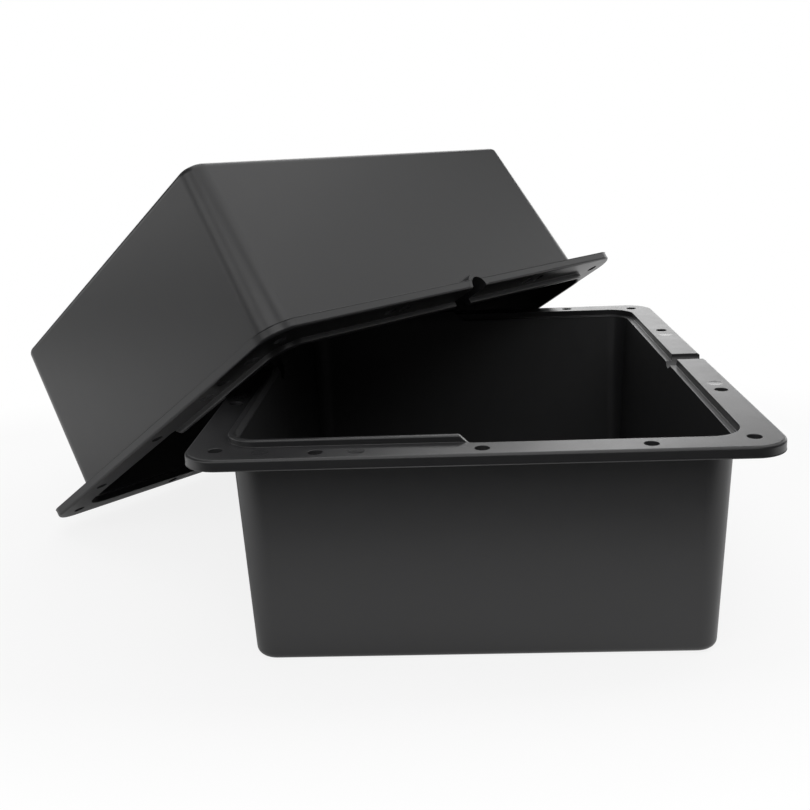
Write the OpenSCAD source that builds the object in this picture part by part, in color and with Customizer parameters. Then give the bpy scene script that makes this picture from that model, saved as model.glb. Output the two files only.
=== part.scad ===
// Two-part storage case for a battery. The base is a deep tub with a bolting flange.
// The lid is a second moulding from the same tool, turned over. Along one long side and
// half of each short side the flange carries a tongue, and along the rest it carries a
// rebate, so that any two mouldings key together. The lid is shown lifted off, leaning on
// the base. The origin is the centre of the base's underside, with +X along the short
// sides, +Y along the long sides and +Z up.

/* [Flange] */
// Outside length of the flange along X
flange_x = 342; // [330:1:360]
// Outside length of the flange along Y
flange_y = 427; // [415:1:445]
// Thickness of the flange
flange_t = 6.8; // [6:0.1:10]
// Radius of the flange's corners in plan
flange_corner_r = 22; // [16:1:30]
// Radius of the rim's edge beside the mating face
rim_round = 2.4; // [1:0.1:3]

/* [Tub] */
// Height of one moulding, from its underside to its mating face
half_height = 139; // [130:1:150]
// Length of the tub along X, just under the flange
tub_x = 295; // [285:1:300]
// Length of the tub along Y, just under the flange
tub_y = 383; // [373:1:388]
// Wall thickness
wall = 4; // [3:0.1:4.5]
// Lean of the two long walls, in degrees
side_draft = 2.2; // [1:0.1:3]
// Lean of the short wall at -Y, in degrees
near_draft = 1.1; // [1:0.1:3]
// Lean of the short wall at +Y, in degrees
far_draft = 8.4; // [1:0.1:9]
// Radius of the tub's upright corners, just under the flange
neck_corner_r = 20; // [18:0.5:22]
// Radius of the tub's upright corners at the underside
foot_corner_r = 14.5; // [12:0.5:18]
// Radius of the edge round the underside
foot_round = 5; // [4:0.5:7]
// Radius of the fillet between the tub and the back of the flange
root_round = 1.5; // [1:0.1:2.5]

/* [Tongue and rebate] */
// Height of the tongue above the mating face
tongue_h = 4.2; // [3:0.1:4.5]
// Width of the tongue
tongue_w = 4.1; // [3:0.1:4.5]
// Radius of the tongue's two upper edges
tongue_round = 1.2; // [0.6:0.1:1.4]
// Distance from the tub's middle line to the foot of the tongue's slanted end
tongue_start = 8.5; // [6:0.5:14]
// Length left out of the tongue where a cable crosses it
tongue_gap = 18; // [17:0.5:24]
// Play of the tongue in the rebate, beside it and above it
tongue_play = 0.8; // [0.4:0.1:1]

/* [Cable ports] */
// Diameter of the round port that two mouldings make together
port_d = 17; // [12:0.5:18]
// Outside diameter of the collar round the port
collar_d = 24; // [20:0.5:28]

/* [Bolt holes] */
// Diameter of the holes, a free fit for M8
bolt_d = 8.5; // [6:0.1:9]
// Distance from the outer edge to the holes along the sides
bolt_edge = 11; // [10:0.5:12]
// Distance between the two holes of a long side
long_pitch = 190; // [150:1:220]
// Distance between neighbouring holes of a short side
short_pitch = 94; // [80:1:100]
// Distance from both outer edges to a corner hole
corner_hole_inset = 18.5; // [17:0.5:20]

/* [Lid's place] */
// Turn of the leaning lid about X, in degrees, the first of three
lid_turn_x = -178.6; // [-179.2:0.1:-178]
// Turn of the leaning lid about Y, in degrees
lid_turn_y = 33.7; // [33:0.1:34.4]
// Turn of the leaning lid about Z, in degrees
lid_turn_z = 143.2; // [142:0.1:144.4]
// Gap left between the lid's tongue and the base's rim where they touch
contact_gap = 0.3; // [0.2:0.1:1]
// Gap left between the lid's lowest corner and the floor
floor_gap = 0.1; // [0.1:0.1:1]

/* [Hidden] */

case_colour = [0.24, 0.24, 0.25];
$fn = 96;
hull_facets = 32;
skin = 0.01;
past = 2;

neck_z = half_height - flange_t;
neck_half = [tub_x / 2, tub_y / 2];
mouth_half = [neck_half.x - wall, neck_half.y - wall];
mouth_r = neck_corner_r - wall;
floor_round = foot_round - wall / 2;

// The tongue stands flush with the inside of the short walls. On the long sides it stands
// a little further out than the wall.
tongue_half = [mouth_half.x + 1.7 + tongue_w, mouth_half.y + tongue_w];
tongue_r = mouth_r + tongue_w;
rebate_half = [tongue_half.x + tongue_play, tongue_half.y + tongue_play];
rebate_r = tongue_r + tongue_play;
rebate_depth = tongue_h + tongue_play;

long_row_x = flange_x / 2 - bolt_edge;
short_row_y = flange_y / 2 - bolt_edge;
corner_hole = [flange_x / 2 - corner_hole_inset, flange_y / 2 - corner_hole_inset];
bolt_places = concat(
    [for (x = [-1, 1], y = [-1, 1]) [x * corner_hole.x, y * corner_hole.y]],
    [for (x = [-1, 1], y = [-1, 1]) [x * long_row_x, y * long_pitch / 2]],
    [for (x = [-1, 0, 1], y = [-1, 1]) [x * short_pitch, y * short_row_y]]
);

// Half lengths and corner radius of the tub's outside at a height above the underside
function lean(draft, z) = tan(draft) * (neck_z - z);
function side_at(z) = neck_half.x - lean(side_draft, z);
function near_at(z) = neck_half.y - lean(near_draft, z);
function far_at(z) = neck_half.y - lean(far_draft, z);
function corner_at(z) = foot_corner_r + (neck_corner_r - foot_corner_r) * z / neck_z;

// The lid's own axes after its turns: its X axis along its short sides, its Y axis along
// its long sides, and its Z axis out of its mouth
about_x = [[1, 0, 0],
           [0, cos(lid_turn_x), -sin(lid_turn_x)],
           [0, sin(lid_turn_x), cos(lid_turn_x)]];
about_y = [[cos(lid_turn_y), 0, sin(lid_turn_y)],
           [0, 1, 0],
           [-sin(lid_turn_y), 0, cos(lid_turn_y)]];
about_z = [[cos(lid_turn_z), -sin(lid_turn_z), 0],
           [sin(lid_turn_z), cos(lid_turn_z), 0],
           [0, 0, 1]];
turned = about_z * about_y * about_x;
lid_x_axis = turned * [1, 0, 0];
lid_y_axis = turned * [0, 1, 0];
lid_z_axis = turned * [0, 0, 1];

// Height of the middle of the lid's mating face when its lowest corner stands on the floor.
// That corner is a round of the rim's edge, swept about the centre of the flange's corner.
sweep_centre = [flange_x / 2 - flange_corner_r, flange_y / 2 - flange_corner_r, -rim_round];
lid_z = floor_gap + rim_round - (turned * sweep_centre).z
    + (flange_corner_r - rim_round) * norm([lid_x_axis.z, lid_y_axis.z]);

// The lid's two short sides rest on the base's left and back rim. At each place the tongue's
// rounded inner edge crosses the rim's rounded edge, like two round bars that cross. Along
// the direction square to both bars, their middle lines are apart by both radii and the gap.
function unit(v) = v / norm(v);
bars_apart = rim_round + tongue_round + contact_gap;
tongue_line = [0, mouth_half.y + tongue_round, tongue_h - tongue_round];
near_tongue = turned * [0, -tongue_line.y, tongue_line.z];
far_tongue = turned * tongue_line;
left_rim = [rim_round - flange_x / 2, 0, half_height - rim_round];
back_rim = [0, flange_y / 2 - rim_round, half_height - rim_round];
left_normal = unit(cross([0, 1, 0], lid_x_axis));
back_normal = unit(cross([1, 0, 0], lid_x_axis));
lid_x = (left_normal * (left_rim - near_tongue) + bars_apart - left_normal.z * lid_z)
    / left_normal.x;
lid_y = (back_normal * (back_rim - far_tongue) + bars_apart - back_normal.z * lid_z)
    / back_normal.y;

// Rectangle with round corners about the origin
module rounded_rectangle(half, r) {
    square([2 * half.x, 2 * (half.y - r)], center = true);
    square([2 * (half.x - r), 2 * half.y], center = true);
    for (x = [-1, 1], y = [-1, 1])
        translate([x * (half.x - r), y * (half.y - r)]) circle(r);
}

// Sweeps the children round a rounded rectangle. They are drawn with X outwards from the
// rectangle's line and Y upwards.
module swept_round(half, r) {
    for (turn = [0, 180]) rotate(turn) {
        translate([half.x, half.y - r, 0])
            rotate([90, 0, 0]) linear_extrude(2 * (half.y - r)) children();
        rotate(90) translate([half.y, half.x - r, 0])
            rotate([90, 0, 0]) linear_extrude(2 * (half.x - r)) children();
        translate([half.x - r, half.y - r, 0])
            rotate_extrude(angle = 90) translate([r, 0]) children();
        translate([r - half.x, half.y - r, 0]) rotate(90)
            rotate_extrude(angle = 90) translate([r, 0]) children();
    }
}

// Block with the tub's drafted walls, taken in by inset and rounded along its lower edge
module drafted_block(inset, bottom_z, edge_r) {
    hull() {
        translate([0, 0, neck_z - skin]) linear_extrude(skin)
            rounded_rectangle(neck_half - [inset, inset], neck_corner_r - inset, $fn = hull_facets);
        for (x = [-1, 1], y = [-1, 1]) {
            level = bottom_z + edge_r;
            corner_r = corner_at(bottom_z) - inset;
            reach_x = side_at(bottom_z) - inset - corner_r;
            reach_y = (y < 0 ? near_at(bottom_z) : far_at(bottom_z)) - inset - corner_r;
            translate([x * reach_x, y * reach_y, level])
                rotate_extrude($fn = hull_facets)
                    translate([corner_r - edge_r, 0]) circle(edge_r, $fn = hull_facets);
        }
    }
}

// Plate of the flange, with the edge beside the mating face rounded
module flange() {
    flange_half = [flange_x / 2, flange_y / 2];
    difference() {
        translate([0, 0, neck_z])
            linear_extrude(flange_t) rounded_rectangle(flange_half, flange_corner_r);
        translate([0, 0, half_height]) swept_round(flange_half, flange_corner_r)
            difference() {
                translate([-rim_round, -rim_round]) square(rim_round + past);
                translate([-rim_round, -rim_round]) circle(rim_round);
            }
    }
}

// Fillet under the flange
module root_fillet() {
    translate([0, 0, neck_z]) swept_round(neck_half, neck_corner_r)
        difference() {
            translate([-wall / 2, -root_round]) square([wall / 2 + root_round, root_round + 1]);
            translate([root_round, -root_round]) circle(root_round);
        }
}

// Side of the case beyond the slanted ends of the tongue, on the +X side. The slant runs
// at 45 degrees, outwards as it rises above the mating face.
module keyed_side(start, slant) {
    reach = flange_x;
    deep = 20;
    translate([0, flange_y, half_height]) rotate([90, 0, 0]) linear_extrude(2 * flange_y)
        polygon([[start - slant * deep, -deep], [start + slant * deep, deep],
                 [reach, deep], [reach, -deep]]);
}

// Tongue round the -X side of the mouth
module tongue() {
    root = 1.5;
    difference() {
        intersection() {
            translate([0, 0, half_height])
                swept_round(tongue_half, tongue_r) translate([-tongue_w, -root]) {
                    square([tongue_w, root + tongue_h - tongue_round]);
                    translate([tongue_round, 0])
                        square([tongue_w - 2 * tongue_round, root + tongue_h]);
                    for (x = [tongue_round, tongue_w - tongue_round])
                        translate([x, root + tongue_h - tongue_round]) circle(tongue_round);
                }
            mirror([1, 0, 0]) keyed_side(tongue_start, 1);
        }
        translate([-tongue_half.x, 0, half_height])
            cube([3 * tongue_w, tongue_gap, 3 * tongue_h], center = true);
    }
}

// Rebate round the +X side of the mouth, which takes the other moulding's tongue
module rebate() {
    intersection() {
        translate([0, 0, half_height - rebate_depth])
            linear_extrude(rebate_depth + past) rounded_rectangle(rebate_half, rebate_r);
        keyed_side(tongue_start - tongue_play, -1);
    }
}

// Space inside the tub, with straight sides where it passes through the flange
module cavity() {
    drafted_block(wall, wall, floor_round);
    translate([0, 0, neck_z - skin])
        linear_extrude(flange_t + past) rounded_rectangle(mouth_half, mouth_r);
}

// Half-round collars that carry the cable ports out to the rim's edge
module port_collars() {
    outer_end = flange_x / 2;
    inner_end = mouth_half.x + wall / 2;
    intersection() {
        for (x = [-1, 1])
            translate([x * (outer_end + inner_end) / 2, 0, half_height]) rotate([0, 90, 0])
                cylinder(d = collar_d, h = outer_end - inner_end, center = true);
        translate([0, 0, half_height - 1 - collar_d / 2])
            cube([flange_x, 2 * collar_d, collar_d], center = true);
    }
}

// Half-round cable ports across both long sides
module ports() {
    length = flange_x / 2 - mouth_half.x + 3 * past + wall;
    for (x = [-1, 1])
        translate([x * (flange_x / 2 + past - length / 2), 0, half_height]) rotate([0, 90, 0])
            cylinder(d = port_d, h = length, center = true);
}

module bolt_holes() {
    for (place = bolt_places)
        translate([place.x, place.y, neck_z - past])
            cylinder(d = bolt_d, h = flange_t + 2 * past);
}

// One moulding, standing on its underside
module moulding() {
    difference() {
        union() {
            drafted_block(0, 0, foot_round);
            flange();
            root_fillet();
            port_collars();
        }
        cavity();
        rebate();
        ports();
        bolt_holes();
    }
    tongue();
}

module case_base() {
    color(case_colour) moulding();
}

module case_lid() {
    color(case_colour)
        translate([lid_x, lid_y, lid_z]) rotate([lid_turn_x, lid_turn_y, lid_turn_z])
            translate([0, 0, -half_height]) moulding();
}

case_base();
case_lid();
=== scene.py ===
"""Looks of a two-part battery case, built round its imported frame.

The case is two copies of one plastic moulding: a deep tub with a bolting flange. One copy
stands as the base, and the other is turned over and leans on it as the lid. The moulding
is swept once, as rings of points round the tub, and cut with its holes, cable ports and
ejector marks. Sizes are in millimetres, and in metres for the floor, lamps and camera.
Angles are in degrees.
"""
import logging
import math
from dataclasses import dataclass
from enum import Enum
from typing import Iterable, Sequence, Union

import bmesh
import bpy
import numpy as np
from mathutils import Euler, Matrix, Vector


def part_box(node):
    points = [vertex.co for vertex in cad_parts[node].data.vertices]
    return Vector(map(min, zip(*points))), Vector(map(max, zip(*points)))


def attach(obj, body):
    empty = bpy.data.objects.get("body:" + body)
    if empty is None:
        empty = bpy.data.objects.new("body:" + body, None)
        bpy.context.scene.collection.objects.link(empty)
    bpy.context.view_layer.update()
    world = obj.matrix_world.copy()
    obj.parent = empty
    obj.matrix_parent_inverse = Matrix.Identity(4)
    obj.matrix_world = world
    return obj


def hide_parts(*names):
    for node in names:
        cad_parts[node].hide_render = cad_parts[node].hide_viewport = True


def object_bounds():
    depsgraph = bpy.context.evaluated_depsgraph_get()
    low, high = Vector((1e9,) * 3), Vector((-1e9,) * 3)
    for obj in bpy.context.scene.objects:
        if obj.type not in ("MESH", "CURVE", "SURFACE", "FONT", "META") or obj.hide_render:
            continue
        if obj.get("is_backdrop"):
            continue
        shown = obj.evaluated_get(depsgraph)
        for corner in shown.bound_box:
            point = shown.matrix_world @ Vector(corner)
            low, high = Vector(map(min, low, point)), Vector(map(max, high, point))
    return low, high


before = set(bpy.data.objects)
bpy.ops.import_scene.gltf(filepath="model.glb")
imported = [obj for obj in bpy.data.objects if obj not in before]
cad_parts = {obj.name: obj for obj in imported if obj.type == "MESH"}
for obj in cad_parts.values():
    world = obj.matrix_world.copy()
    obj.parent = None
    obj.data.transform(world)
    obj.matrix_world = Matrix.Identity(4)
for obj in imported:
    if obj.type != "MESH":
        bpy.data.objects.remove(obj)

LOG = logging.getLogger("battery_case")
MM = 0.001
WELD_MM = 0.004
COLLAPSE_MM = 0.002
PLACE_ATTRIBUTE = "moulding_place"

Number = Union[float, np.ndarray]


# ---------------------------------------------------------------- shader expressions


class Value:
    """A socket of a node tree that can be used in Python arithmetic."""

    def __init__(self, tree: bpy.types.NodeTree, socket: bpy.types.NodeSocket) -> None:
        """Wraps one output socket.

        Args:
            tree: The node tree that the socket belongs to.
            socket: The output socket.
        """
        self.tree = tree
        self.socket = socket

    def _math(self, operation: str, *inputs: Union["Value", float]) -> "Value":
        """Adds a Math node.

        Args:
            operation: The node's operation.
            inputs: Its inputs, in order.

        Returns:
            The node's result.
        """
        node = self.tree.nodes.new("ShaderNodeMath")
        node.operation = operation
        for slot, item in zip(node.inputs, inputs):
            if isinstance(item, Value):
                self.tree.links.new(item.socket, slot)
            else:
                slot.default_value = float(item)
        return Value(self.tree, node.outputs[0])

    def __add__(self, other: Union["Value", float]) -> "Value":
        """Sum."""
        return self._math("ADD", self, other)

    __radd__ = __add__

    def __sub__(self, other: Union["Value", float]) -> "Value":
        """Difference."""
        return self._math("SUBTRACT", self, other)

    def __rsub__(self, other: float) -> "Value":
        """Difference from a number."""
        return self._math("SUBTRACT", other, self)

    def __mul__(self, other: Union["Value", float]) -> "Value":
        """Product."""
        return self._math("MULTIPLY", self, other)

    __rmul__ = __mul__

    def lower(self, other: Union["Value", float]) -> "Value":
        """The smaller of this and another value."""
        return self._math("MINIMUM", self, other)

    def larger(self, other: Union["Value", float]) -> "Value":
        """The larger of this and another value."""
        return self._math("MAXIMUM", self, other)

    def below(self, limit: float, soft: float) -> "Value":
        """1 where this is below a limit and 0 above it, with a soft step.

        Args:
            limit: The middle of the step.
            soft: The step's half width.

        Returns:
            The mask.
        """
        share = (self - (limit - soft)) * (0.5 / soft)
        return 1 - share.larger(0.0).lower(1.0)


class Shading:
    """Nodes of a material or a world, with one method for all that aren't arithmetic."""

    def __init__(self, owner: Union[bpy.types.Material, bpy.types.World]) -> None:
        """Starts with an empty node tree.

        Args:
            owner: The material or the world.
        """
        owner.use_nodes = True
        self.tree = owner.node_tree
        self.tree.nodes.clear()

    def node(self, kind: str, settings: dict, inputs: dict, output: Union[str, int] = 0) -> Value:
        """Adds a node.

        Args:
            kind: The node's type, without the word ShaderNode.
            settings: Attributes of the node, which are set first.
            inputs: Values or links for its sockets, by name or number.
            output: The socket that is returned.

        Returns:
            One output of the node.
        """
        node = self.tree.nodes.new("ShaderNode" + kind)
        for key, setting in settings.items():
            setattr(node, key, setting)
        for key, item in inputs.items():
            if isinstance(item, Value):
                self.tree.links.new(item.socket, node.inputs[key])
            else:
                node.inputs[key].default_value = item
        return Value(self.tree, node.outputs[output])

    def tint(self, share: Value, low: Sequence[float], high: Sequence[float]) -> Value:
        """Mixes two colours.

        Args:
            share: 0 for the first colour and 1 for the second.
            low: The first colour.
            high: The second colour.

        Returns:
            The colour.
        """
        settings = {"data_type": "RGBA"}
        inputs = {"Factor": share, 6: (*low, 1.0), 7: (*high, 1.0)}
        return self.node("Mix", settings, inputs, 2)

    def surface(self, shader: Value, kind: str = "OutputMaterial") -> None:
        """Sends a shader to the output.

        Args:
            shader: The shader.
            kind: The output node's type, without the word ShaderNode.
        """
        out = self.tree.nodes.new("ShaderNode" + kind)
        self.tree.links.new(shader.socket, out.inputs["Surface"])


# ---------------------------------------------------------------- finishes


@dataclass(frozen=True)
class MouldedPlastic:
    """Dark grey moulded plastic with a fine grain and a low sheen."""

    dark: tuple = (0.017, 0.017, 0.018)
    light: tuple = (0.023, 0.023, 0.024)
    roughness: float = 0.34
    roughness_spread: float = 0.07
    mark_roughness: float = -0.08
    specular: float = 0.50
    grain_per_mm: float = 1.6
    grain_height_mm: float = 0.02
    grain_strength: float = 0.5
    mottle_per_mm: float = 0.09
    mottle_share: float = 0.4
    wave_per_mm: float = 0.012
    wave_height_mm: float = 0.35
    wave_strength: float = 1.0

    def material(self, marks: "EjectorMarks") -> bpy.types.Material:
        """Builds the material.

        Args:
            marks: Where the ejector pins have left smoother places.

        Returns:
            The material.
        """
        material = bpy.data.materials.new("moulded_plastic")
        shading = Shading(material)
        place = shading.node("Attribute", {"attribute_name": PLACE_ATTRIBUTE}, {}, "Vector")

        def noise(per_mm: float, detail: float) -> Value:
            """Noise of so many cells per millimetre."""
            inputs = {"Vector": place, "Scale": per_mm / MM, "Detail": detail}
            return shading.node("TexNoise", {}, inputs, "Fac")

        cloud = noise(self.wave_per_mm, detail=3.0)
        mottle = noise(self.mottle_per_mm, detail=4.0)
        grain = noise(self.grain_per_mm, detail=2.0)
        smooth = marks.mask(shading, place)
        blend = cloud * (1 - self.mottle_share) + mottle * self.mottle_share
        colour = shading.tint(blend, self.dark, self.light)
        rough = (
            self.roughness
            + (mottle - 0.5) * self.roughness_spread
            + (grain - 0.5) * self.roughness_spread
            + smooth * self.mark_roughness
        )
        waves = shading.node(
            "Bump",
            {},
            {
                "Strength": self.wave_strength,
                "Distance": self.wave_height_mm * MM,
                "Height": cloud,
            },
            "Normal",
        )
        bumps = shading.node(
            "Bump",
            {},
            {
                "Strength": self.grain_strength,
                "Distance": self.grain_height_mm * MM,
                "Height": grain,
                "Normal": waves,
            },
            "Normal",
        )
        shader = shading.node(
            "BsdfPrincipled",
            {},
            {
                "Base Color": colour,
                "Roughness": rough,
                "Specular IOR Level": self.specular,
                "Normal": bumps,
            },
            "BSDF",
        )
        shading.surface(shader)
        return material


@dataclass(frozen=True)
class StudioFloor:
    """White floor that reads as white to the camera and keeps the case's soft shadow.

    The shadow's area is an ellipse, in metres. An edge is the middle and the half width of
    a soft step, as shares of the ellipse: one bounds the shadow that the camera sees, and
    the other the dark floor round the case, beyond which glossy faces mirror it as white.
    """

    reflectance: float = 0.80
    shadow_share: float = 0.15
    shadow_centre: tuple = (-0.10, 0.08)
    shadow_reach: tuple = (0.75, 0.44)
    shadow_edge: tuple = (0.85, 0.13)
    mirrored_edge: tuple = (0.60, 0.10)

    def material(self) -> bpy.types.Material:
        """Builds the material.

        Returns:
            The material.
        """
        material = bpy.data.materials.new("studio_floor")
        shading = Shading(material)
        grey = (self.reflectance,) * 3 + (1.0,)
        matt = shading.node("BsdfDiffuse", {}, {"Color": grey}, "BSDF")
        white = shading.node("Emission", {}, {"Color": (1, 1, 1, 1), "Strength": 1.0}, "Emission")
        place = shading.node("NewGeometry", {}, {}, "Position")
        (cx, cy), (rx, ry) = self.shadow_centre, self.shadow_reach
        inputs = {0: place, 1: (1 / rx, 1 / ry, 0), 2: (-cx / rx, -cy / ry, 0)}
        scaled = shading.node("VectorMath", {"operation": "MULTIPLY_ADD"}, inputs, "Vector")
        away = shading.node("VectorMath", {"operation": "LENGTH"}, {0: scaled}, "Value")
        shadowed = away.below(*self.shadow_edge) * self.shadow_share
        lit = 1 - away.below(*self.mirrored_edge)
        camera = shading.node("LightPath", {}, {}, "Is Camera Ray")
        glossy = shading.node("LightPath", {}, {}, "Is Glossy Ray")
        share = camera.larger(glossy * lit) * (1 - shadowed)
        shading.surface(shading.node("MixShader", {}, {0: share, 1: matt, 2: white}))
        return material


# ---------------------------------------------------------------- sweeping and cutting


@dataclass(frozen=True)
class Outline:
    """Rounded rectangle in plan. Its two short sides may stand at different distances."""

    side: Number
    near: Number
    far: Number
    corner: Number

    def grown(self, by: Number) -> "Outline":
        """The outline moved outwards.

        Args:
            by: How far, or how far at each column.

        Returns:
            The new outline.
        """
        return Outline(self.side + by, self.near + by, self.far + by, self.corner + by)

    def mixed(self, other: "Outline", share: Number) -> "Outline":
        """A step from this outline towards another.

        Args:
            other: The outline at a share of 1.
            share: How far to go, or how far at each column.

        Returns:
            The new outline.
        """
        pairs = (
            (self.side, other.side),
            (self.near, other.near),
            (self.far, other.far),
            (self.corner, other.corner),
        )
        return Outline(*(a + (b - a) * share for a, b in pairs))


class Perimeter:
    """Columns of points that stand round a rounded rectangle, counter-clockwise from +X."""

    def __init__(
        self, side_stops: Sequence[float], end_stops: Sequence[float], steps: int
    ) -> None:
        """Lays out the columns.

        Args:
            side_stops: Places along Y of the columns on the long sides, rising.
            end_stops: Places along X of the columns on the short sides, rising.
            steps: Number of steps round each corner.
        """
        columns = []
        sides = {
            0: [(0, y, 1, 1, 0, 0) for y in side_stops],
            1: [(x, 0, 0, 0, 1, 1) for x in reversed(end_stops)],
            2: [(0, y, -1, -1, 0, 0) for y in reversed(side_stops)],
            3: [(x, 0, 0, 0, -1, -1) for x in end_stops],
        }
        corner_signs = ((1, 1), (-1, 1), (-1, -1), (1, -1))
        for quarter in range(4):
            columns += sides[quarter]
            sign_x, sign_y = corner_signs[quarter]
            for step in range(steps + 1):
                angle = math.pi / 2 * (quarter + step / steps)
                columns.append((0, 0, sign_x, math.cos(angle), sign_y, math.sin(angle)))
        table = np.array(columns, float).T
        self.fixed_x, self.fixed_y = table[0], table[1]
        self.square_x, self.round_x = table[2], table[3]
        self.square_y, self.round_y = table[4], table[5]
        self.count = len(columns)

    def ring(self, outline: Outline, z: Number) -> np.ndarray:
        """Places one point of every column.

        Args:
            outline: The outline that the points lie on.
            z: Their height, or the height of each.

        Returns:
            The points, one row for each column.
        """
        length = np.where(self.square_y > 0, outline.far, outline.near)
        x = self.fixed_x + self.square_x * (outline.side - outline.corner)
        y = self.fixed_y + self.square_y * (length - outline.corner)
        x = x + self.round_x * outline.corner
        y = y + self.round_y * outline.corner
        return np.stack([x, y, np.broadcast_to(z, x.shape)], -1)


def arc(start: float, end: float, steps: int) -> np.ndarray:
    """Angles of an arc.

    Args:
        start: First angle in degrees.
        end: Last angle in degrees.
        steps: Number of steps.

    Returns:
        The angles in radians.
    """
    return np.radians(np.linspace(start, end, steps + 1))


def mesh_from(name: str, points: np.ndarray, faces: Iterable[Sequence[int]]) -> bpy.types.Object:
    """Makes an object from points in millimetres.

    Args:
        name: The object's name.
        points: The points.
        faces: The faces, as numbers of points.

    Returns:
        The object, linked to the scene.
    """
    mesh = bpy.data.meshes.new(name)
    mesh.from_pydata((np.asarray(points) * MM).tolist(), [], list(faces))
    obj = bpy.data.objects.new(name, mesh)
    bpy.context.scene.collection.objects.link(obj)
    return obj


def swept_solid(name: str, perimeter: Perimeter, rings: Sequence[np.ndarray]) -> bpy.types.Object:
    """Joins rings into a closed solid, capped at its first and last ring.

    Args:
        name: The object's name.
        perimeter: The columns that the rings share.
        rings: The rings, from the middle of the underside round to the middle of the inside.

    Returns:
        The solid.
    """
    count = perimeter.count
    faces = []
    for row in range(len(rings) - 1):
        for column in range(count):
            after = (column + 1) % count
            low, high = row * count, (row + 1) * count
            faces.append((low + column, low + after, high + after, high + column))
    last = (len(rings) - 1) * count
    faces.append(tuple(reversed(range(count))))
    faces.append(tuple(range(last, last + count)))
    obj = mesh_from(name, np.concatenate(rings), faces)
    work = bmesh.new()
    work.from_mesh(obj.data)
    bmesh.ops.remove_doubles(work, verts=work.verts, dist=WELD_MM * MM)
    bmesh.ops.dissolve_degenerate(work, edges=work.edges, dist=COLLAPSE_MM * MM)
    work.to_mesh(obj.data)
    work.free()
    return obj


class Solids:
    """Collects simple closed solids in one mesh, to be cut from or joined to another."""

    def __init__(self) -> None:
        """Starts empty."""
        self.points: list[tuple] = []
        self.faces: list[tuple] = []

    def turned(
        self, profile: Sequence[Sequence[float]], x: float, y: float, steps: int = 48
    ) -> None:
        """Adds a solid turned about an upright axis.

        Args:
            profile: Closed outline as (radius, height), counter-clockwise. Where it meets
                the axis, its first and last point have radius 0.
            x: Place of the axis.
            y: Place of the axis.
            steps: Steps round the axis.
        """
        on_axis = profile[0][0] == 0
        body = profile[1:-1] if on_axis else profile
        start = len(self.points)
        for angle in np.linspace(0, 2 * math.pi, steps, endpoint=False):
            for radius, z in body:
                across, along = radius * math.cos(angle), radius * math.sin(angle)
                self.points.append((x + across, y + along, z))
        size = len(body)
        for step in range(steps):
            here, after = start + step * size, start + (step + 1) % steps * size
            for k in range(size - 1 if on_axis else size):
                up = (k + 1) % size
                self.faces.append((here + k, after + k, after + up, here + up))
        if on_axis:
            for end, (_, z) in ((0, profile[0]), (size - 1, profile[-1])):
                middle = len(self.points)
                self.points.append((x, y, z))
                for step in range(steps):
                    here = start + step * size + end
                    after = start + (step + 1) % steps * size + end
                    corner = (middle, after, here) if end == 0 else (middle, here, after)
                    self.faces.append(corner)

    def bar(self, section: Sequence[Sequence[float]], low: float, high: float) -> None:
        """Adds a bar along X.

        Args:
            section: Closed outline as (y, z), counter-clockwise seen from +X.
            low: Where the bar starts.
            high: Where it ends.
        """
        start, size = len(self.points), len(section)
        for x in (low, high):
            self.points += [(x, y, z) for y, z in section]
        for k in range(size):
            after = (k + 1) % size
            self.faces.append((start + k, start + after, start + size + after, start + size + k))
        self.faces.append(tuple(reversed(range(start, start + size))))
        self.faces.append(tuple(range(start + size, start + 2 * size)))

    def apply(self, target: bpy.types.Object, operation: str) -> None:
        """Joins the solids to an object or cuts them out of it.

        Args:
            target: The object that changes.
            operation: UNION or DIFFERENCE.
        """
        tool = mesh_from("tool", np.array(self.points), self.faces)
        change = target.modifiers.new("change", "BOOLEAN")
        change.operation = operation
        change.solver = "EXACT"
        change.object = tool
        bpy.context.view_layer.update()
        ready = target.evaluated_get(bpy.context.evaluated_depsgraph_get())
        mesh = bpy.data.meshes.new_from_object(ready)
        target.modifiers.clear()
        old = target.data
        target.data = mesh
        bpy.data.meshes.remove(old)
        bpy.data.objects.remove(tool)


# ---------------------------------------------------------------- the moulding


class Mark(Enum):
    """Kind of trace that an ejector pin leaves on the mating face."""

    DISC = "disc"
    RING = "ring"


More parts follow.
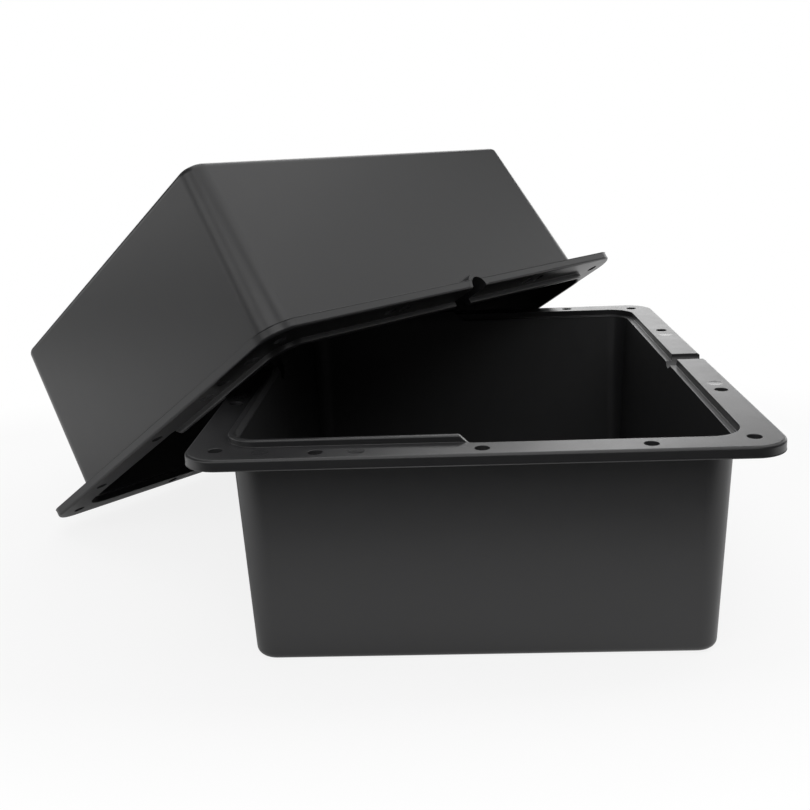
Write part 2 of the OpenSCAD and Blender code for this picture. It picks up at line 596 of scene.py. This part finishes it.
@dataclass(frozen=True)
class EjectorMarks:
    """Traces of the ejector pins on the mating face."""

    radius: float = 5.2
    depth: float = 0.12
    edge: float = 0.35
    overcut: float = 0.5
    steps: int = 40
    mask_blur: float = 0.06
    places: tuple = (
        (-159.0, -184.5, Mark.RING),
        (-126.0, -200.0, Mark.DISC),
        (-71.0, -202.0, Mark.DISC),
        (-126.0, 200.0, Mark.DISC),
        (-160.0, -78.5, Mark.DISC),
        (-160.0, 78.5, Mark.DISC),
        (160.0, -78.5, Mark.DISC),
        (160.0, 78.5, Mark.DISC),
    )

    def add_to(self, cutter: Solids, face_z: float) -> None:
        """Adds the marks to what is cut out of the mating face.

        Args:
            cutter: Collects the solids.
            face_z: Height of the mating face.
        """
        r, d, e = self.radius, self.depth, self.edge
        above = face_z + self.overcut
        disc = ((0, face_z - d), (r - e, face_z - d), (r, face_z), (r, above), (0, above))
        ring = (
            (r - e, above),
            (r - e, face_z),
            (r, face_z - d),
            (r + e, face_z),
            (r + e, above),
        )
        for x, y, kind in self.places:
            cutter.turned(disc if kind is Mark.DISC else ring, x, y, self.steps)

    def mask(self, shading: Shading, place: Value) -> Value:
        """1 on the discs and 0 elsewhere.

        Args:
            shading: The material's nodes.
            place: Place on the moulding, in metres.

        Returns:
            The mask.
        """
        x = shading.node("SeparateXYZ", {}, {0: place}, "X")
        y = shading.node("SeparateXYZ", {}, {0: place}, "Y")
        nearest = None
        for px, py, kind in self.places:
            if kind is Mark.RING:
                continue
            across = x - px * MM
            along = y - py * MM
            square = across * across + along * along
            nearest = square if nearest is None else nearest.lower(square)
        limit = (self.radius * MM) ** 2
        return nearest.below(limit, self.mask_blur * limit)


@dataclass
class Moulding:
    """One half of the case: a deep tub with a flange that keys with its own copy.

    The key is the tongue and the rebate together. The flash is a thin burr round the foot
    of the flange's rim. Each step of its section is a share of its width, what is taken
    off that, and a height above the flange's back.
    """

    flange_x: float
    flange_y: float
    height: float
    # the flange and its flash
    flange_t: float = 6.8
    flange_corner: float = 22.0
    rim_round: float = 2.0
    flash: float = 0.35
    flash_swing: float = 0.25
    flash_waves: tuple = (5, 3)
    flash_phase: float = 1.3
    flash_section: tuple = ((1, 0.10, 0.05), (1, 0, 0.22), (0.5, 0, 0.50), (0, 0, 0.75))
    back_edge: float = 1.0
    # the tub
    inset: float = 0.08
    tub_x: float = 295.0
    tub_y: float = 383.0
    wall: float = 4.0
    side_draft: float = 2.2
    near_draft: float = 1.1
    far_draft: float = 8.4
    neck_corner: float = 20.0
    foot_corner: float = 14.5
    foot_round: float = 5.0
    floor_round: float = 3.0
    root_round: float = 1.5
    # the key, with the share of its height that each of its rounds may take
    tongue_h: float = 4.2
    tongue_w: float = 4.1
    tongue_step: float = 1.7
    tongue_round: float = 1.2
    tongue_start: float = 8.5
    tongue_gap: float = 18.0
    gap_slope: float = 0.1
    slant_ease: float = 0.3
    play: float = 0.8
    play_run: float = 4.0
    foot_share: float = 0.4
    crown_share: float = 0.6
    land_share: float = 0.45
    lip_step: float = 2.0
    edge_round: float = 0.4
    # the cable ports and their collars
    port_r: float = 8.5
    port_inward: float = 8.0
    collar_r: float = 12.0
    collar_cut: float = 5.0
    collar_cover: float = 0.05
    collar_below: float = 0.2
    collar_overlap: float = 0.5
    # the bolt holes
    bolt_r: float = 4.25
    bolt_edge: float = 11.0
    long_pitch: float = 190.0
    short_pitch: float = 94.0
    corner_inset: float = 18.5
    # how far cutters pass a face, and how the mesh is laid out and shaded
    overcut: float = 2.0
    bend_reach: float = 0.5
    sharp_angle: float = 38.0

    @property
    def neck_z(self) -> float:
        """Height of the flange's back."""
        return self.height - self.flange_t

    @property
    def rebate_depth(self) -> float:
        """Depth of the rebate below the mating face."""
        return self.tongue_h + self.play

    def perimeter(self) -> Perimeter:
        """Columns that catch the ends of the tongue and of the rebate."""
        reach = self.bend_reach
        gap = [self.tongue_gap / 2 + out for out in (0.0, self.gap_slope, reach)]
        near_gap = [*(-y for y in reversed(gap)), -4, 4, *gap]
        side_stops = [-160, -125, -90, -55, -25, *near_gap, 25, 55, 90, 120, 148]
        start = -self.tongue_start
        bends = (start - self.tongue_h, start, start + self.rebate_depth)
        slant = [bend + out for bend in bends for out in (-reach, 0.0, reach)]
        end_stops = [-120, -90, -60, -30, *slant, 10, 30, 60, 90, 120]
        return Perimeter(side_stops, end_stops, steps=20)

    def tub(self, z: float, foot: float, bend: float) -> Outline:
        """Outline of the tub at a height, for its outer wall or for what lies inside.

        Args:
            z: The height.
            foot: Height of the face that the wall ends at.
            bend: Radius of the round between the wall and that face.

        Returns:
            The outline of the outer wall. It keeps its lowest value beside the round.
        """
        share = min((self.neck_z - z) / (self.neck_z - foot - bend), 1.0)
        drop = share * (self.neck_z - foot)
        drafts = (self.side_draft, self.near_draft, self.far_draft)
        side, near, far = (math.tan(math.radians(angle)) * drop for angle in drafts)
        corner_slope = (self.neck_corner - self.foot_corner) / self.neck_z
        return Outline(
            self.tub_x / 2 - side,
            self.tub_y / 2 - near,
            self.tub_y / 2 - far,
            self.neck_corner - corner_slope * drop,
        )

    def outside(self, z: float) -> Outline:
        """Outline of the outer wall, a hair inside the solid's faceted corners."""
        return self.tub(z, 0.0, self.foot_round).grown(-self.inset)

    def inside(self, z: float) -> Outline:
        """Outline of the inner wall at a height."""
        return self.tub(z, self.wall, self.floor_round).grown(-self.wall)

    def mouth(self) -> Outline:
        """Outline of the inner wall where it passes through the flange."""
        return self.inside(self.neck_z)

    def key_heights(self, perimeter: Perimeter) -> np.ndarray:
        """Height of the key at each column: above 0 on the tongue, below 0 in the rebate.

        Args:
            perimeter: The columns.

        Returns:
            The heights.
        """
        at = perimeter.ring(self.mouth(), 0.0)
        x, y = at[:, 0], at[:, 1]
        slant = -self.tongue_start - x
        shifts = (-self.slant_ease, 0.0, self.slant_ease)
        eased = [np.clip(slant + s, -self.rebate_depth, self.tongue_h) for s in shifts]
        height = sum(eased) / len(eased)
        on_side = np.abs(perimeter.square_x * (perimeter.square_y == 0)) > 0
        past_gap = np.clip((np.abs(y) - self.tongue_gap / 2) / self.gap_slope, 0, 1)
        return np.where(on_side & (x < 0), height * past_gap, height)

    def lip_shift(self, perimeter: Perimeter) -> np.ndarray:
        """How far the mouth is widened along the rebate's long side, at each column."""
        on_right = np.abs(perimeter.round_x) * (perimeter.square_x > 0)
        return self.lip_step * on_right

    def outer_rings(self, perimeter: Perimeter) -> list[np.ndarray]:
        """Rings of the underside, the outer wall, the flange's back and its rim.

        Args:
            perimeter: The columns.

        Returns:
            The rings, ending where the mating face begins.
        """
        rings = []

        def add(outline: Outline, z: Number) -> None:
            """Adds one ring."""
            rings.append(perimeter.ring(outline, z))

        add(self.outside(0.0).grown(-2 * self.foot_round), 0.0)
        for angle in arc(0, 90, 7):
            z = self.foot_round * (1 - math.cos(angle))
            add(self.outside(z).grown(-self.foot_round * (1 - math.sin(angle))), z)
        for z in np.linspace(self.foot_round, self.neck_z - self.root_round, 6)[1:-1]:
            add(self.outside(z), z)
        for angle in arc(0, 90, 5):
            out = self.root_round * (1 - math.cos(angle))
            z = self.neck_z - self.root_round * (1 - math.sin(angle))
            add(self.outside(z).grown(out), z)
        rim = Outline(self.flange_x / 2, self.flange_y / 2, self.flange_y / 2, self.flange_corner)
        along = np.arange(perimeter.count) / perimeter.count * 2 * math.pi
        fast, slow = self.flash_waves
        wave = np.sin(fast * along + self.flash_phase) * np.sin(slow * along)
        burr = self.flash * (1 - self.flash_swing + self.flash_swing * wave)
        face = rim.grown(-self.flash)
        add(rim.grown(-self.back_edge), self.neck_z)
        for share, less, rise in self.flash_section:
            add(face.grown(burr * share - less), self.neck_z + rise)
        for angle in arc(0, 90, 9):
            out = -self.rim_round * (1 - math.cos(angle))
            z = self.height - self.rim_round * (1 - math.sin(angle))
            add(face.grown(out), z)
        return rings

    def key_rings(self, perimeter: Perimeter) -> list[np.ndarray]:
        """Rings of the tongue and the rebate, from the mating face to the inner wall.

        Args:
            perimeter: The columns.

        Returns:
            The rings, in the same order at every column.
        """
        mouth = self.mouth()
        shift = self.tongue_step
        inner = Outline(mouth.side + shift, mouth.near, mouth.far, mouth.corner)
        outer = inner.grown(self.tongue_w)
        height = self.key_heights(perimeter)
        up = height > 0
        size = np.abs(height)
        past_start = self.ring_x(perimeter) + self.tongue_start
        outer = outer.grown(self.play * np.clip(past_start / self.play_run, 0, 1))
        small = np.minimum(self.edge_round, size * self.foot_share)
        crown = np.minimum(self.tongue_round, size * self.crown_share)
        lip = np.full(perimeter.count, self.edge_round)
        widened = self.lip_shift(perimeter)
        land = shift * np.abs(perimeter.round_x) * (perimeter.square_x != 0)
        edge = np.where(up, np.minimum(self.edge_round, land * self.land_share), lip)
        rings = []

        def add(outline: Outline, out: Number, z: Number) -> None:
            """Adds one ring on an outline moved outwards."""
            rings.append(perimeter.ring(outline.grown(out), self.height + z))

        for angle in arc(0, 90, 3):
            rise = 1 - math.cos(angle)
            add(outer, small * (1 - math.sin(angle)), np.where(up, 1.0, -1.0) * small * rise)
        for angle in arc(0, 90, 4):
            tongue_out = -crown * (1 - math.cos(angle))
            tongue_z = height - crown * (1 - math.sin(angle))
            rebate_out = -small * (1 - math.cos(angle))
            rebate_z = height + small * (1 - math.sin(angle))
            add(outer, np.where(up, tongue_out, rebate_out), np.where(up, tongue_z, rebate_z))
        floor_start = np.where(up, 1.0, 0.0)
        for angle in arc(0, 90, 4):
            out = crown * (1 - math.sin(angle))
            z = height - crown * (1 - math.cos(angle))
            spot = mouth.mixed(inner, floor_start)
            add(spot, np.where(up, out, lip + widened), np.where(up, z, height))
        for angle in arc(0, 90, 4):
            out = (1 - math.sin(angle)) * edge + widened
            drop = (1 - math.cos(angle)) * edge
            add(mouth, out, np.where(up, 0.0, height) - drop)
        return rings

    def ring_x(self, perimeter: Perimeter) -> np.ndarray:
        """Place along X of every column at the mouth."""
        return perimeter.ring(self.mouth(), 0.0)[:, 0]

    def inner_rings(self, perimeter: Perimeter) -> list[np.ndarray]:
        """Rings of the inner wall and the floor.

        Args:
            perimeter: The columns.

        Returns:
            The rings, ending on the floor.
        """
        lip = self.mouth().grown(self.lip_shift(perimeter))
        rings = [perimeter.ring(lip, self.neck_z)]
        low = self.wall + self.floor_round
        for z in np.linspace(self.neck_z, low, 6)[1:-1]:
            rings.append(perimeter.ring(self.inside(z), z))
        for angle in arc(90, 0, 5):
            z = self.wall + self.floor_round * (1 - math.cos(angle))
            shift = -self.floor_round * (1 - math.sin(angle))
            rings.append(perimeter.ring(self.inside(z).grown(shift), z))
        return rings

    def collars(self) -> list[Solids]:
        """Half-round collars on the flange's back, round the cable ports.

        Returns:
            Solids that are joined to the moulding one after the other. The part that
            passes under the rebate stays below its floor.
        """
        start = self.mouth().side + self.wall / 2
        end = self.flange_x / 2 - self.flash + self.collar_cover
        behind = start + self.tongue_step + self.tongue_w
        deep = self.rebate_depth + self.collar_below
        under = math.degrees(math.asin(deep / self.collar_r))
        cut = self.collar_cut
        bars = (
            (-end, -start, cut),
            (start, behind + self.collar_overlap, under),
            (behind, end, cut),
        )
        parts = []
        for low, high, angle in bars:
            section = [
                (self.collar_r * math.cos(a), self.height + self.collar_r * math.sin(a))
                for a in arc(180 + angle, 360 - angle, 40)
            ]
            solids = Solids()
            solids.bar(section, low, high)
            parts.append(solids)
        return parts

    def cutter(self) -> Solids:
        """Bolt holes, cable ports and ejector marks."""
        solids = Solids()
        soft, past = self.edge_round, self.overcut
        hole = [(0, self.neck_z - past), (self.bolt_r + soft, self.neck_z - past)]
        for angle in arc(0, 90, 3):
            out = soft * (1 - math.sin(angle))
            hole.append((self.bolt_r + out, self.neck_z + soft * (1 - math.cos(angle))))
        for angle in arc(90, 0, 3):
            out = soft * (1 - math.sin(angle))
            hole.append((self.bolt_r + out, self.height - soft * (1 - math.cos(angle))))
        hole += [(self.bolt_r + soft, self.height + past), (0, self.height + past)]
        for x, y in self.bolt_places():
            solids.turned(hole, x, y)
        low = math.degrees(math.asin(soft / self.port_r))
        port = [
            (self.port_r * math.cos(a), self.height + self.port_r * math.sin(a))
            for a in arc(180 + low, 360 - low, 36)
        ]
        bend = [
            (self.port_r + soft * (1 - math.sin(a)), soft * math.cos(a)) for a in arc(60, 0, 2)
        ]
        port += [(y, self.height + z - soft) for y, z in bend]
        top = self.height + self.tongue_h + past
        port += [(self.port_r + soft, top), (-self.port_r - soft, top)]
        port += [(-y, self.height + z - soft) for y, z in reversed(bend)]
        start, end = self.mouth().side - self.port_inward, self.flange_x / 2 + past
        for near, far in ((start, end), (-end, -start)):
            solids.bar(port, near, far)
        EjectorMarks().add_to(solids, self.height)
        return solids

    def bolt_places(self) -> list[tuple]:
        """Centres of the fourteen holes of the flange."""
        corner = (self.flange_x / 2 - self.corner_inset, self.flange_y / 2 - self.corner_inset)
        side = (self.flange_x / 2 - self.bolt_edge, self.long_pitch / 2)
        row = self.flange_y / 2 - self.bolt_edge
        signs = [(sx, sy) for sx in (-1, 1) for sy in (-1, 1)]
        places = [(sx * x, sy * y) for x, y in (corner, side) for sx, sy in signs]
        return places + [(k * self.short_pitch, sy * row) for k in (-1, 0, 1) for sy in (-1, 1)]

    def build(self, name: str) -> bpy.types.Object:
        """Builds the moulding, standing on its underside at the origin.

        Args:
            name: The object's name.

        Returns:
            The object, with its places on the moulding stored for the material.
        """
        perimeter = self.perimeter()
        rings = self.outer_rings(perimeter) + self.key_rings(perimeter)
        obj = swept_solid(name, perimeter, rings + self.inner_rings(perimeter))
        for collar in self.collars():  # one at a time, because they overlap
            collar.apply(obj, "UNION")
        self.cutter().apply(obj, "DIFFERENCE")
        mesh = obj.data
        spots = np.zeros(len(mesh.vertices) * 3, np.float32)
        mesh.vertices.foreach_get("co", spots)
        stored = mesh.attributes.new(PLACE_ATTRIBUTE, "FLOAT_VECTOR", "POINT")
        stored.data.foreach_set("vector", spots)
        mesh.polygons.foreach_set("use_smooth", [True] * len(mesh.polygons))
        mesh.set_sharp_from_angle(angle=math.radians(self.sharp_angle))
        even = obj.modifiers.new("even_normals", "WEIGHTED_NORMAL")
        even.keep_sharp = True
        return obj


# ---------------------------------------------------------------- the two halves


@dataclass
class CaseHalf:
    """One of the two mouldings, in its place in the frame."""

    node: str
    body: str
    pivot_z: float = 0.0
    turn: tuple = (0.0, 0.0, 0.0)
    place: tuple = (0.0, 0.0, 0.0)
    finish_slot: str = "moulded_plastic"

    def seat(self, obj: bpy.types.Object) -> None:
        """Turns the moulding about the middle of its mating face and moves it into place.

        Args:
            obj: The moulding, standing at the origin.
        """
        middle = Matrix.Translation((0, 0, -self.pivot_z * MM))
        turned = Euler([math.radians(a) for a in self.turn], "XYZ").to_matrix().to_4x4()
        place = Matrix.Translation(Vector(self.place) * MM)
        obj.data.transform(place @ turned @ middle)

    def dress(self, pattern: bpy.types.Object, finish: bpy.types.Material) -> bpy.types.Object:
        """Makes this half from the moulding and gives it its finish.

        Args:
            pattern: The moulding, standing at the origin.
            finish: The plastic.

        Returns:
            The piece.
        """
        piece = pattern.copy()
        piece.data = pattern.data.copy()
        piece.name = self.node + "_shell"
        bpy.context.scene.collection.objects.link(piece)
        self.seat(piece)
        piece.data.materials.clear()
        piece.data.materials.append(finish)
        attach(piece, self.body)
        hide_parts(self.node)
        LOG.info("%s: %d faces", piece.name, len(piece.data.polygons))
        return piece


# ---------------------------------------------------------------- the studio


@dataclass(frozen=True)
class SoftLight:
    """A panel of even brightness that faces the case. Lengths are in metres."""

    name: str
    place: tuple
    width: float
    height: float
    brightness: float

    def hang(self, target: Vector) -> None:
        """Adds the panel to the scene.

        Args:
            target: The point that it faces.
        """
        data = bpy.data.lights.new(self.name, "AREA")
        data.shape = "RECTANGLE"
        data.size = self.width
        data.size_y = self.height
        data.energy = self.brightness * math.pi * self.width * self.height
        panel = bpy.data.objects.new(self.name, data)
        bpy.context.scene.collection.objects.link(panel)
        panel.location = self.place
        panel.rotation_euler = (target - panel.location).to_track_quat("-Z", "Y").to_euler()
        panel.visible_camera = False
        LOG.info("%s", self.name)


@dataclass
class Studio:
    """Floor, lamps, world and camera. Lengths are in metres here."""

    azimuth: float = 2.757
    elevation: float = 15.881
    roll: float = -2.386
    camera_place: tuple = (-0.01614, -0.74259, 0.31898)
    sensor: float = 36.0
    lens: float = 45.08
    clip_start: float = 0.01
    floor_low: tuple = (-1.3, -0.38)
    floor_high: tuple = (1.3, 1.6)
    floor_gap: float = 0.0001
    world_level: float = 0.07
    target: tuple = (0.0, 0.0, 0.14)
    panels: tuple = (
        SoftLight("overhead", (0.3, 0.1, 1.9), 2.4, 2.4, 1.38),
        SoftLight("back", (0.0, 2.6, 0.5), 2.4, 1.0, 2.5),
        SoftLight("back_right", (1.9, 2.2, 0.5), 1.6, 1.0, 1.9),
        SoftLight("back_high", (-0.3, 2.2, 1.6), 2.2, 1.0, 2.3),
        SoftLight("left", (-2.6, 0.0, 0.5), 2.4, 1.0, 1.25),
        SoftLight("right_high", (2.0, 0.6, 1.5), 2.0, 1.2, 0.95),
        SoftLight("front_high", (0.0, -1.9, 1.7), 2.0, 1.2, 1.9),
        SoftLight("spot_right", (1.3, -0.5, 1.7), 0.5, 0.5, 1.0),
        SoftLight("front_left_high", (-1.6, -1.5, 1.2), 1.2, 1.2, 1.9),
    )

    def lay_floor(self) -> None:
        """Lays the floor just under the case. It is a table that ends close in front."""
        (x0, y0), (x1, y1) = self.floor_low, self.floor_high
        corners = np.array([(x0, y0, 0), (x1, y0, 0), (x1, y1, 0), (x0, y1, 0)])
        floor = mesh_from("floor", corners / MM, [(0, 1, 2, 3)])
        floor.location.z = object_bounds()[0].z - self.floor_gap
        floor.data.materials.append(StudioFloor().material())
        floor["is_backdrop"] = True
        LOG.info("floor")

    def light_world(self) -> None:
        """White surroundings for the camera, and faint ones for everything else."""
        world = bpy.data.worlds.new("studio")
        bpy.context.scene.world = world
        shading = Shading(world)
        seen = shading.node("LightPath", {}, {}, "Is Camera Ray")
        level = seen * (1 - self.world_level) + self.world_level
        inputs = {"Color": (1, 1, 1, 1), "Strength": level}
        shading.surface(shading.node("Background", {}, inputs), "OutputWorld")
        LOG.info("world")

    def place_camera(self) -> None:
        """Sets the camera at the photograph's angle, for a square image."""
        az, el, ro = (math.radians(a) for a in (self.azimuth, self.elevation, self.roll))
        back = Vector((math.sin(az) * math.cos(el), -math.cos(az) * math.cos(el), math.sin(el)))
        level = Vector((math.cos(az), math.sin(az), 0))
        rise = back.cross(level)
        right = math.cos(ro) * level + math.sin(ro) * rise
        up = -math.sin(ro) * level + math.cos(ro) * rise
        turn = Matrix((right, up, back)).transposed().to_4x4()
        data = bpy.data.cameras.new("camera")
        data.sensor_width = self.sensor
        data.sensor_fit = "HORIZONTAL"
        data.lens = self.lens
        data.clip_start = self.clip_start
        camera = bpy.data.objects.new("camera", data)
        bpy.context.scene.collection.objects.link(camera)
        camera.matrix_world = Matrix.Translation(self.camera_place) @ turn
        bpy.context.scene.camera = camera
        LOG.info("camera")

    def build(self) -> None:
        """Builds the studio."""
        self.lay_floor()
        self.light_world()
        for panel in self.panels:
            panel.hang(Vector(self.target))
        self.place_camera()
        bpy.context.scene.view_settings.view_transform = "Standard"


def main() -> None:
    """Builds both halves and the studio."""
    logging.basicConfig(level=logging.INFO, format="%(name)s: %(message)s")
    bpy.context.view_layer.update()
    low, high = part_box("case_base")
    size = (high - low) / MM
    height = size.z - Moulding.tongue_h
    moulding = Moulding(flange_x=size.x, flange_y=size.y, height=height)
    pattern = moulding.build("moulding")
    finish = MouldedPlastic().material(EjectorMarks())
    halves = (
        CaseHalf("case_base", "base"),
        CaseHalf(
            "case_lid",
            "lid",
            pivot_z=moulding.height,
            turn=(-178.6, 33.7, 143.2),
            place=(-105.727, 108.278, 97.951),
        ),
    )
    for half in halves:
        half.dress(pattern, finish)
    bpy.data.objects.remove(pattern)
    Studio().build()


if __name__ == "__main__":
    main()
